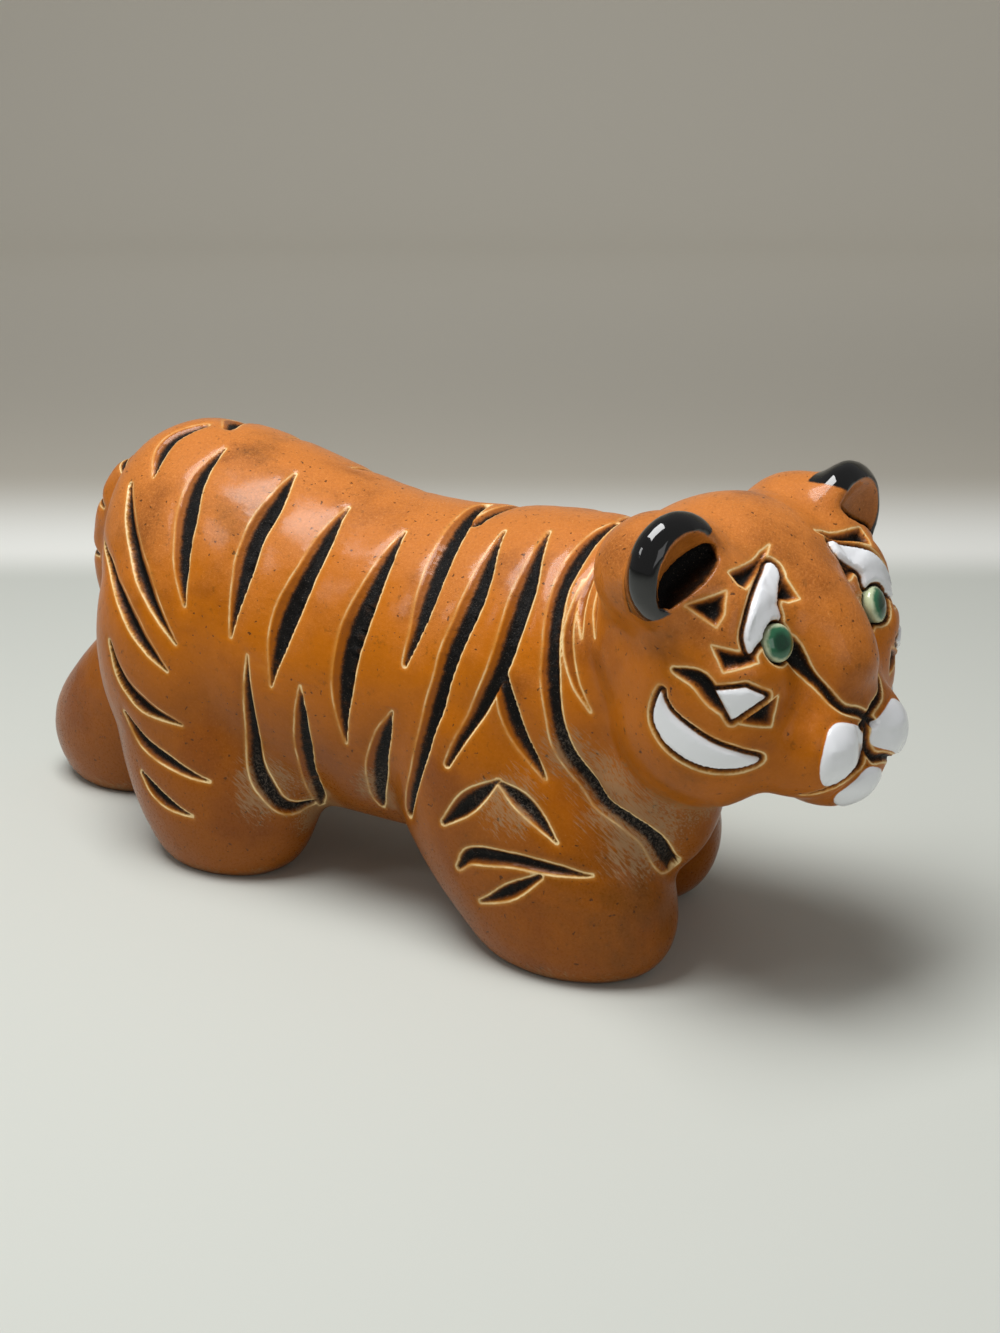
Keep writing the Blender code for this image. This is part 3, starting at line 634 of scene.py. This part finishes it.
def measured(body):
    # how far each point is from every cut and patch, in millimetres, negative inside
    count = len(body.data.vertices)
    where = np.empty(count * 3)
    body.data.vertices.foreach_get("co", where)
    where = where.reshape(-1, 3)
    facing = np.empty(count * 3)
    body.data.vertex_normals.foreach_get("vector", facing)
    facing = facing.reshape(-1, 3)
    far = np.full(count, 8.0)
    found = {"cut": far.copy(), "dark": far.copy(), "white": far.copy(), "rim": far.copy(),
             "depth": np.zeros(count), "lipBrightness": np.full(count, 0.7), "dust": np.zeros(count)}

    def lower(name, near, values, lipBrightness=None):
        if lipBrightness is not None:
            nearer = values < found[name][near]
            found["lipBrightness"][near[nearer]] = (lipBrightness + 0 * values)[nearer]
        found[name][near] = np.minimum(found[name][near], values)

    for groove in grooves:
        near, value, across, width = groove.measure(where, facing)
        lean = abs(groove.lean)
        t = across * (np.sign(groove.lean) or 1.0)
        rise, fall = -0.3 + 0.65 * lean, 0.3 + 0.35 * lean
        shape = smooth((t + 1) / (rise + 1)) * (1 - smooth((t - fall) / (1 - fall)))
        deep = carving["depth"] * groove.depth * width * shape * (value < 0)
        found["depth"][near] = np.maximum(found["depth"][near], deep)
        # how bright the cream line on the lip is on each side of the stroke: partly worn glaze, partly
        # painted highlight
        lower("cut", near, value, 0.8 + lean * (0.2 - 0.6 * (1 - smooth((t + 0.5) / 1.0))))
        if groove.dark:
            floor = np.maximum(-0.7 + 0.2 * lean - t, t - 0.9) * width
            lower("dark", near, np.maximum(floor, value))
    for pocket in pockets:
        near, value = pocket.measure(where, facing)
        found["depth"][near] = np.maximum(found["depth"][near], carving["pocketDepth"] * smooth(-value / 1.7))
        lower("cut", near, value, 0.8)
        lower("dark", near, value + 0.6)
    for patch in whites + pads:
        near, value = patch.measure(where, facing)
        ringed = patch in whites
        ring = carving["ringDepth"] * (1.0 if ringed else 0.25)
        deep = ring * (1 - np.clip(np.abs(value - 0.6) / 0.8, 0, 1) ** 2) ** 2
        found["depth"][near] = np.maximum(found["depth"][near], deep)
        dome = smooth((0.1 - value) / 1.0)
        found["depth"][near] = found["depth"][near] * (1 - dome) - 0.35 * dome
        lower("white", near, value)
        if ringed:
            lower("dark", near, np.abs(value - 0.5) - 0.6)
            lower("cut", near, np.abs(value - 0.5) - 0.85, 0.7)
        found["dark"][near] = np.maximum(found["dark"][near], -value - 0.1)
        found["cut"][near] = np.maximum(found["cut"][near], -value - 0.1)
    for point, normal in eyes:
        gap = where - point
        out = gap @ normal
        reach = np.sqrt(np.maximum((gap ** 2).sum(1) - out ** 2, 0))
        near = np.nonzero((reach < 9) & (np.abs(out) < 6) & (facing @ normal > 0))[0]
        inset = reach[near] - carving["eyeSocket"]
        deep = carving["eyeSocketDepth"] * smooth(-inset / 0.9)
        found["depth"][near] = np.maximum(found["depth"][near], deep)
        lower("cut", near, inset)
        lower("dark", near, inset + 0.1)
        found["white"][near] = np.maximum(found["white"][near], -0.1 - inset)
    for side in (-1, 1):
        turned = np.array(earFrame(side).inverted())
        local = where @ turned[:3, :3].T + turned[:3, 3]
        ahead, along, out = local.T
        reach = np.hypot(along, out)
        onEar = (reach < 19) & (np.abs(ahead) < 11)
        lateral = np.clip(along * side / 5, -1, 1)
        black = np.maximum(earShape["blackFrom"] - reach, -out - 0.4 - 3.2 * lateral)
        black = np.maximum(black, -ahead - earShape["blackBehind"])
        found["rim"][onEar] = np.minimum(found["rim"], black)[onEar]
        slot = np.abs(out - earShape["slotUp"]) / earShape["slotHalf"]
        slot = slot + np.maximum(np.abs(along) - 8, 0) / 2 + np.maximum(ahead - 6, 0)
        found["depth"][onEar] = np.maximum(found["depth"], earShape["slotDepth"] * smooth(1.3 - slot))[onEar]
        # black laid into the ear hollow and along the slot: painted shade in the crevice between the ear and
        # the head
        floor = np.maximum(out + 2.2 - 3.2 * (1 - (along / 8.5) ** 2), -2.4 - out)
        shade = np.minimum(np.maximum(floor, ahead - 5), (slot - 1.1) * 1.9)
        shade = np.maximum(shade, reach - 9.3)
        found["dark"][onEar] = np.minimum(found["dark"], shade)[onEar]
    besideCut = 1 - np.clip(found["cut"] / carving["shoulderWidth"], 0, 1)
    found["depth"] += carving["shoulder"] * besideCut ** 2 * (found["white"] > -0.3)
    for spot, radius in dusty:
        gap = np.sqrt(((where - spot) ** 2).sum(1))
        found["dust"] = np.maximum(found["dust"], smooth(1.2 - gap / radius))
    found["dust"] = np.maximum(found["dust"], smooth(1 - where[:, 2] / 9) * 0.7)
    for name in ("cut", "dark", "white", "rim"):
        found[name] = np.clip(found[name], -8, 8)
    found["lipBrightness"] = np.clip(found["lipBrightness"], 0, 1)
    return found


def thinned(body):
    # keeps the fine grid at the edges of the cuts and lets the plain skin go coarser
    found = measured(body)
    edge = np.minimum(np.abs(found["cut"]), np.abs(found["white"]))
    edge = np.minimum(edge, np.abs(found["rim"]) + 0.4)
    spare = np.nonzero(edge > clay["keepNear"])[0]
    group = body.vertex_groups.new(name="spare")
    group.add(spare.tolist(), 1.0, "REPLACE")
    faces = sum(len(face.vertices) - 2 for face in body.data.polygons)
    step = body.modifiers.new("thinned", "DECIMATE")
    step.vertex_group = "spare"
    step.ratio = min(1.0, clay["faces"] / faces)
    applied(body)
    body.vertex_groups.clear()


thinned(body)
for name, values in measured(body).items():
    body.data.attributes.new(name, "FLOAT", "POINT").data.foreach_set("value", values)
print("skin thinned:", len(body.data.vertices), "points,", len(body.data.polygons), "faces")


class Wire:
    # a socket that can be written into sums
    def __init__(self, tree, socket):
        self.tree = tree
        self.socket = socket

    def math(self, operation, *others):
        return self.tree.node("ShaderNodeMath", {"operation": operation}, [self, *others])

    def __add__(self, other):
        return self.math("ADD", other)

    __radd__ = __add__

    def __mul__(self, other):
        return self.math("MULTIPLY", other)

    __rmul__ = __mul__

    def __sub__(self, other):
        return self.math("SUBTRACT", other)

    def __rsub__(self, other):
        return self.tree.node("ShaderNodeMath", {"operation": "SUBTRACT"}, [other, self])

    def highest(self, other):
        return self.math("MAXIMUM", other)


class Tree:
    def __init__(self, nodeTree):
        self.nodeTree = nodeTree

    def node(self, kind, settings=None, values=None, output=0):
        made = self.nodeTree.nodes.new(kind)
        for name, setting in (settings or {}).items():
            setattr(made, name, setting)
        pairs = values.items() if isinstance(values, dict) else enumerate(values or ())
        for name, value in pairs:
            if isinstance(value, Wire):
                self.nodeTree.links.new(value.socket, made.inputs[name])
            elif value is not None:
                made.inputs[name].default_value = value
        return Wire(self, made.outputs[output]) if made.outputs else made

    def between(self, value, low, high):  # 0 below low, 1 above high
        settings = {"interpolation_type": "SMOOTHSTEP"}
        return self.node("ShaderNodeMapRange", settings, {"Value": value, "From Min": low, "From Max": high})

    def mix(self, share, first, second, blend="MIX"):
        settings = {"data_type": "RGBA", "blend_type": blend}
        return self.node("ShaderNodeMix", settings, {0: share, 6: first, 7: second}, output=2)

    def attribute(self, name):
        return self.node("ShaderNodeAttribute", {"attribute_name": name}, output="Fac")

    def noise(self, place, scale, detail=2.0, roughness=0.5, distortion=0.0):
        values = {"Vector": place, "Scale": scale, "Detail": detail, "Roughness": roughness,
                  "Distortion": distortion}
        return self.node("ShaderNodeTexNoise", None, values)


def screen(red, green, blue):  # a colour as it looks on screen, 0 to 255
    def linear(value):
        value /= 255
        return value / 12.92 if value <= 0.04045 else ((value + 0.055) / 1.055) ** 2.4
    return (linear(red), linear(green), linear(blue), 1.0)


def newMaterial(name):
    made = bpy.data.materials.new(name)
    made.use_nodes = True
    made.node_tree.nodes.clear()
    return made, Tree(made.node_tree)


def finished(tree, shader):
    tree.node("ShaderNodeOutputMaterial", None, {"Surface": shader})


glaze = {
    "amber": screen(192, 106, 2),
    "deepAmber": screen(146, 78, 0),
    "terracottaAndSheen": screen(198, 118, 50),
    "creamAndHighlight": screen(252, 228, 172),
    "edgeAmber": screen(242, 180, 88),
    "pooled": screen(116, 56, 4),
    "wall": screen(128, 66, 10),
    "smoke": screen(92, 56, 12),
    "mottle": screen(234, 148, 70),
    "speck": screen(244, 196, 124),
    "brown": screen(74, 42, 14),
    "black": screen(15, 13, 12),
    "grit": screen(120, 108, 96),
    "dust": screen(166, 146, 112),
    "white": screen(246, 248, 252),
    "rim": screen(10, 10, 11),
    "grain": 0.00022,  # how high the orange peel stands, in metres
}


def glazedCoat():
    material, tree = newMaterial("amber glaze over carved clay")
    place = tree.node("ShaderNodeTexCoord", output="Object")
    height = tree.node("ShaderNodeSeparateXYZ", None, [place], output="Z") * 1000.0
    up = tree.node("ShaderNodeNewGeometry", output="Normal")
    up = tree.node("ShaderNodeSeparateXYZ", None, [up], output="Z")
    names = ("cut", "dark", "white", "rim", "lipBrightness", "dust")
    cut, dark, white, rim, lipBrightness, dust = (tree.attribute(name) for name in names)
    clouds = tree.noise(place, 28.0, 3.0)
    patches = tree.noise(place, 90.0, 4.0, 0.6)
    grain = tree.noise(place, 1500.0, 3.0, 0.7)
    fine = tree.noise(place, 3200.0, 2.0, 0.6)
    ragged = (tree.noise(place, 700.0, 3.0, 0.7) - 0.5) * 0.9

    # the clear amber runs down and stands deepest low on the body, and the darker amber low down is also
    # painted shade under a top-lit body; the top is partly a rosier, drier glaze and partly a painted sheen
    # painted shade: the deep amber darkens the lower body and the plain amber lightens the top
    lit = tree.between(height + (clouds - 0.5) * 50.0 + (patches - 0.5) * 30.0, 26.0, 78.0)
    colour = tree.mix(lit, glaze["deepAmber"], glaze["amber"])
    # rosier terracotta on the top and the up-facing skin, with more light mottle and specks there: partly a
    # drier glaze, partly a painted sheen
    rosyAndSheen = tree.between(height + up * 16.0 + (patches - 0.5) * 60.0 + (clouds - 0.5) * 60.0, 72.0, 118.0)
    colour = tree.mix(rosyAndSheen * 0.8, colour, glaze["terracottaAndSheen"])
    pooled = tree.between(tree.noise(place, 46.0, 3.0, 0.55), 0.48, 0.74)
    colour = tree.mix(pooled * 0.6, colour, glaze["pooled"])
    smoke = tree.between(tree.noise(place, 19.0, 5.0, 0.65, 0.4), 0.54, 0.72)
    colour = tree.mix(smoke * 0.55, colour, glaze["smoke"])
    mottle = tree.between(grain, 0.35, 0.75)
    colour = tree.mix(mottle * (0.08 + rosyAndSheen * 0.3), colour, glaze["mottle"])
    specks = tree.between(fine * 0.6 + grain * 0.4, 0.63, 0.7)
    colour = tree.mix(specks * (0.15 + rosyAndSheen * 0.35), colour, glaze["speck"])
    freckles = tree.between(tree.noise(place, 420.0, 4.0, 0.75), 0.58, 0.7)
    colour = tree.mix(freckles * 0.4, colour, glaze["smoke"])
    pores = tree.between(tree.noise(place, 900.0, 1.0, 0.3, 0.4), 0.73, 0.77)
    colour = tree.mix(pores * 0.8, colour, glaze["brown"])

    # beside a cut the glaze runs thin and light; the browner colour on the walls inside the cut is painted
    # shade
    thin = (1.0 - tree.between(cut + ragged * 0.6, -0.2, 1.7)) * tree.between(cut, -0.5, -0.05)
    colour = tree.mix(thin * thin * (lipBrightness * 0.5 + 0.1), colour, glaze["edgeAmber"])
    # painted shade on the walls inside each cut
    wall = 1.0 - tree.between(cut + ragged * 0.5, -0.7, -0.1)
    colour = tree.mix(wall * 0.55, colour, glaze["wall"])
    streaks = tree.noise(tree.node("ShaderNodeMapping", {"vector_type": "TEXTURE"}, {
        "Vector": place, "Rotation": (0.3, 0.75, 0.25), "Scale": (8.0, 1.0, 1.0)}), 2100.0, 3.0, 0.7, 0.3)
    brushed = tree.between(streaks * 0.8 + patches * 0.35 + dust * 0.32, 0.74, 0.92)
    brushed = brushed * tree.between(dust, 0.05, 0.4)
    colour = tree.mix(brushed * 0.5, colour, glaze["dust"])

    inside = 1.0 - tree.between(dark + ragged, -0.5, 0.35)
    floorTone = tree.mix(tree.between(dark + ragged, -0.9, 0.1), glaze["black"], glaze["brown"])
    grit = tree.between(fine, 0.62, 0.72) * 0.55 + dust * tree.between(grain, 0.45, 0.65) * 0.5
    floorTone = tree.mix(grit, floorTone, glaze["grit"])
    colour = tree.mix(inside, colour, floorTone)
    # the cream line on each lip: glaze worn thin on the edge, and a painted highlight where the rounded lip
    # catches the light; the lip brightness sets how strong it is on each side
    lip = cut + ragged * 0.35 - 0.2
    edge = (1.0 - tree.between(lip, 0.0, 0.35)) * (1.0 - tree.between(0.0 - lip, 0.0, 0.35))
    edge = edge * tree.between(tree.noise(place, 160.0, 3.0) + lipBrightness * 0.5, 0.55, 1.05)
    colour = tree.mix(edge * 0.9, colour, glaze["creamAndHighlight"])

    whiteMask = 1.0 - tree.between(white + ragged * 0.25, -0.14, 0.14)
    colour = tree.mix(whiteMask, colour, glaze["white"])
    rimMask = 1.0 - tree.between(rim + ragged * 0.5, -0.3, 0.3)
    colour = tree.mix(rimMask, colour, glaze["rim"])

    rough = 0.27 + lit * 0.06 + rosyAndSheen * 0.1 + mottle * 0.05
    rough = rough + inside * 0.04 + brushed * 0.2
    rough = rough + (0.12 - rough) * whiteMask
    rough = rough + (0.05 - rough) * rimMask
    wet = whiteMask.highest(rimMask)
    dents = tree.noise(place, 170.0, 2.0) * 1.6
    peel = (grain * 0.6 + fine * 0.4 - pores * 0.8) * (0.55 + inside * 1.8 + rosyAndSheen * 1.1) + dents
    bump = tree.node("ShaderNodeBump", None, {"Strength": 0.8, "Distance": glaze["grain"], "Height": peel})
    coloured = tree.node("ShaderNodeBsdfPrincipled", None, {
        "Base Color": colour, "Roughness": rough, "Normal": bump, "IOR": 1.5, "Specular IOR Level": 0.14,
        "Coat Weight": (1.0 - inside) * (0.16 + rosyAndSheen * 0.3), "Coat Roughness": 0.17,
    })
    thick = tree.node("ShaderNodeBsdfPrincipled", None, {
        "Base Color": colour, "Roughness": rough, "IOR": 1.5, "Coat Weight": 0.5, "Coat Roughness": 0.04,
    })
    shader = tree.node("ShaderNodeMixShader", None, {0: wet, 1: coloured, 2: thick})
    finished(tree, shader)
    return material


coat = glazedCoat()


def carvedTree():
    # pushes the skin in by its depth attribute and roughens the cuts, as a tool and a brush leave them
    group = bpy.data.node_groups.new("carve the coat", "GeometryNodeTree")
    face = group.interface
    face.new_socket("Geometry", in_out="INPUT", socket_type="NodeSocketGeometry")
    for name in ("Depth", "Tool Marks", "Brush Marks"):
        face.new_socket(name, in_out="INPUT", socket_type="NodeSocketFloat")
    face.new_socket("Glaze", in_out="INPUT", socket_type="NodeSocketMaterial")
    face.new_socket("Geometry", in_out="OUTPUT", socket_type="NodeSocketGeometry")
    tree = Tree(group)
    start = group.nodes.new("NodeGroupInput")
    geometry, depth, tool, brush, stuff = (Wire(tree, start.outputs[k]) for k in range(5))
    named = {"data_type": "FLOAT"}
    deep = tree.node("GeometryNodeInputNamedAttribute", named, {"Name": "depth"})
    place = tree.node("GeometryNodeInputPosition")
    normal = tree.node("GeometryNodeInputNormal")
    rough = tree.noise(place, 0.55, 3.0) - 0.5
    soft = tree.noise(place, 0.11, 2.0) - 0.5
    carvedIn = tree.node("ShaderNodeClamp", None, [deep, 0.0, 1.0])
    push = soft * brush - deep * depth + rough * tool * carvedIn
    offset = tree.node("ShaderNodeVectorMath", {"operation": "SCALE"}, {0: normal, "Scale": push})
    moved = tree.node("GeometryNodeSetPosition", None, {"Geometry": geometry, "Offset": offset})
    real = tree.node("GeometryNodeRealizeInstances", None, {"Geometry": moved})
    dressed = tree.node("GeometryNodeSetMaterial", None, {"Geometry": real, "Material": stuff})
    end = group.nodes.new("NodeGroupOutput")
    group.links.new(dressed.socket, end.inputs[0])
    return group


def withTree(piece, group, values):
    step = piece.modifiers.new(group.name, "NODES")
    step.node_group = group
    for item in group.interface.items_tree:
        if item.item_type == "SOCKET" and item.in_out == "INPUT" and item.name in values:
            step[item.identifier] = values[item.name]
    return applied(piece)


withTree(body, carvedTree(), {"Depth": 1.0, "Tool Marks": 0.5, "Brush Marks": 0.35, "Glaze": coat})


def settled(piece, shift):
    piece.data.transform(Matrix.Translation(shift) @ Matrix.Scale(0.001, 4))
    piece.data.update()
    for face in piece.data.polygons:
        face.use_smooth = True


count = len(body.data.vertices)
where = np.empty(count * 3)
body.data.vertices.foreach_get("co", where)
where = where.reshape(-1, 3)
where[:, 2] = np.maximum(where[:, 2], 0)  # flat soles
body.data.vertices.foreach_set("co", where.ravel())
low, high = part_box("tiger")
middle = (low + high) / 2
shift = Vector((middle.x, middle.y, 0)) - Vector((*((where.min(0) + where.max(0)) / 2000)[:2], 0))
settled(body, shift)
print("coat carved, moved by", [round(v * 1000, 2) for v in shift])


eyeGlass = {
    "corners": 40,
    "rings": ((1.0, -0.9), (1.0, 0.0), (0.97, 0.25), (0.9, 0.45), (0.75, 0.7), (0.5, 0.9), (0.22, 1.0)),
    "radius": 4.3,
    "bulge": 1.7,
    "sunk": 0.6,
    "middle": screen(14, 62, 40),
    "ring": screen(48, 112, 78),
    "lip": screen(204, 216, 178),
}


def domes():
    shape = bmesh.new()
    radial = shape.verts.layers.float.new("radial")  # 1 at the edge of an eye, least in its middle
    corners = eyeGlass["corners"]
    for point, normal in eyes:
        normal = Vector(normal)
        across = normal.orthogonal().normalized()
        up = normal.cross(across)
        base = Vector(point) - normal * eyeGlass["sunk"]
        rings = []
        for share, rise in eyeGlass["rings"]:
            ring = []
            for k in range(corners):
                turn = 2 * math.pi * k / corners
                out = (across * math.cos(turn) + up * math.sin(turn)) * eyeGlass["radius"] * share
                vert = shape.verts.new(base + out + normal * rise * eyeGlass["bulge"])
                vert[radial] = share
                ring.append(vert)
            rings.append(ring)
        for near, far in zip(rings, rings[1:]):
            for i in range(corners):
                j = (i + 1) % corners
                shape.faces.new((near[i], near[j], far[j], far[i]))
        for ring, rise, share in ((rings[-1], 1.03, 0.0), (rings[0], -0.95, 1.0)):
            hub = shape.verts.new(base + normal * rise * eyeGlass["bulge"])
            hub[radial] = share
            for i in range(corners):
                shape.faces.new((ring[i], ring[(i + 1) % corners], hub))
    bmesh.ops.recalc_face_normals(shape, faces=shape.faces)
    mesh = bpy.data.meshes.new("eyes")
    shape.to_mesh(mesh)
    shape.free()
    made = bpy.data.objects.new("eyes", mesh)
    bpy.context.scene.collection.objects.link(made)
    settled(made, shift)
    return made


def eyeGlaze():
    material, tree = newMaterial("green eye glaze")
    place = tree.node("ShaderNodeTexCoord", output="Object")
    radial = tree.attribute("radial") + (tree.noise(place, 500.0, 3.0) - 0.5) * 0.3
    colour = tree.mix(tree.between(radial, 0.3, 0.8), eyeGlass["middle"], eyeGlass["ring"])
    colour = tree.mix(tree.between(radial, 0.74, 0.95), colour, eyeGlass["lip"])
    shader = tree.node("ShaderNodeBsdfPrincipled", None, {
        "Base Color": colour, "Roughness": 0.12, "IOR": 1.5, "Coat Weight": 0.6, "Coat Roughness": 0.03,
    })
    finished(tree, shader)
    return material


eyePiece = domes()
eyePiece.data.materials.append(eyeGlaze())
print("eyes set")


backdrop = {
    "behind": 1.3,  # where the paper bends up, far enough to walk round the animal
    "bend": 0.4,
    "rise": 1.6,
    "halfWidth": 2.5,
    "front": -2.2,
    "pale": (0.27, 0.32, 0.46),  # where a painted light band comes in, and then a painted dimmer zone, behind the animal
    "floor": screen(202, 205, 198),
    "paintedDim": screen(188, 183, 171),
    "wall": screen(252, 247, 234),
    "paintedLightBand": screen(240, 241, 236),
}
viewpoint = {"aim": (0.0212, 0.0102, 0.0582), "turn": 32.0, "lift": 19.0, "away": 0.52, "wide": 28.0}


def sweep():
    turn = math.radians(viewpoint["turn"])
    ahead = Vector((-math.sin(turn), math.cos(turn), 0))
    aside = Vector((math.cos(turn), math.sin(turn), 0))
    behind, bend = backdrop["behind"], backdrop["bend"]
    profile = [(backdrop["front"], 0.0)]
    for k in range(17):
        turn = math.pi / 2 * k / 16
        profile.append((behind + bend * math.sin(turn), bend * (1 - math.cos(turn))))
    profile.append((behind + bend, backdrop["rise"]))
    shape = bmesh.new()
    rows = []
    for reach, height in profile:
        middle = ahead * reach + Vector((0, 0, height))
        half = aside * backdrop["halfWidth"]
        rows.append([shape.verts.new(middle - half), shape.verts.new(middle + half)])
    for near, far in zip(rows, rows[1:]):
        shape.faces.new((near[0], near[1], far[1], far[0]))
    mesh = bpy.data.meshes.new("sweep")
    shape.to_mesh(mesh)
    shape.free()
    for face in mesh.polygons:
        face.use_smooth = True
    made = bpy.data.objects.new("sweep", mesh)
    bpy.context.scene.collection.objects.link(made)
    material, tree = newMaterial("studio paper")
    place = tree.node("ShaderNodeTexCoord", output="Object")
    dot = {"operation": "DOT_PRODUCT"}
    reach = tree.node("ShaderNodeVectorMath", dot, [place, tuple(ahead)], output="Value")
    # the paper is painted by distance behind the animal: a painted light band and then a painted dimmer zone
    # stand in for how the light falls where paper bends up, and the far wall is painted whiter to make up for
    # the lamp light that falls off before it
    near, pale, paintedDim = backdrop["pale"]
    colour = tree.mix(tree.between(reach, near, pale), backdrop["floor"], backdrop["paintedLightBand"])
    colour = tree.mix(tree.between(reach, pale, paintedDim), colour, backdrop["paintedDim"])
    colour = tree.mix(tree.between(reach, paintedDim, backdrop["behind"]), colour, backdrop["wall"])
    shader = tree.node("ShaderNodeBsdfPrincipled", None, {"Base Color": colour, "Roughness": 0.8})
    finished(tree, shader)
    mesh.materials.append(material)
    return made


def camera():
    data = bpy.data.cameras.new("camera")
    data.sensor_fit = "HORIZONTAL"
    data.angle = math.radians(viewpoint["wide"])
    data.clip_start = 0.01
    made = bpy.data.objects.new("camera", data)
    turn, lift = math.radians(viewpoint["turn"]), math.radians(viewpoint["lift"])
    towards = Vector((math.sin(turn) * math.cos(lift), -math.cos(turn) * math.cos(lift), math.sin(lift)))
    made.location = Vector(viewpoint["aim"]) + towards * viewpoint["away"]
    made.rotation_euler = (-towards).to_track_quat("-Z", "Y").to_euler()
    bpy.context.scene.collection.objects.link(made)
    bpy.context.scene.camera = made


lamps = {  # place, aim, size, power
    "overhead": ((-0.08, -0.15, 0.80), (0.0, 0.0, 0.05), 0.45, 6.6),
    "window": ((-0.55, -0.70, 0.75), (0.0, 0.0, 0.06), 0.22, 0.7),
    "fill": ((0.75, -0.35, 0.35), (0.02, 0.0, 0.05), 0.4, 0.5),
}


roomLight = 0.2


def light():
    for name, (place, aim, size, power) in lamps.items():
        data = bpy.data.lights.new(name, "AREA")
        data.size = size
        data.energy = power
        made = bpy.data.objects.new(name, data)
        made.location = place
        made.rotation_euler = (Vector(aim) - Vector(place)).to_track_quat("-Z", "Y").to_euler()
        bpy.context.scene.collection.objects.link(made)
    world = bpy.data.worlds.new("studio")
    bpy.context.scene.world = world
    world.use_nodes = True
    around = world.node_tree.nodes["Background"].inputs
    around["Color"].default_value = (1.0, 0.99, 0.97, 1.0)
    around["Strength"].default_value = roomLight


floor = sweep()
camera()
light()
bpy.context.scene.view_settings.view_transform = "Standard"
print("stage lit")

for piece in (body, eyePiece):
    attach(piece, "root")
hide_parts("tiger")
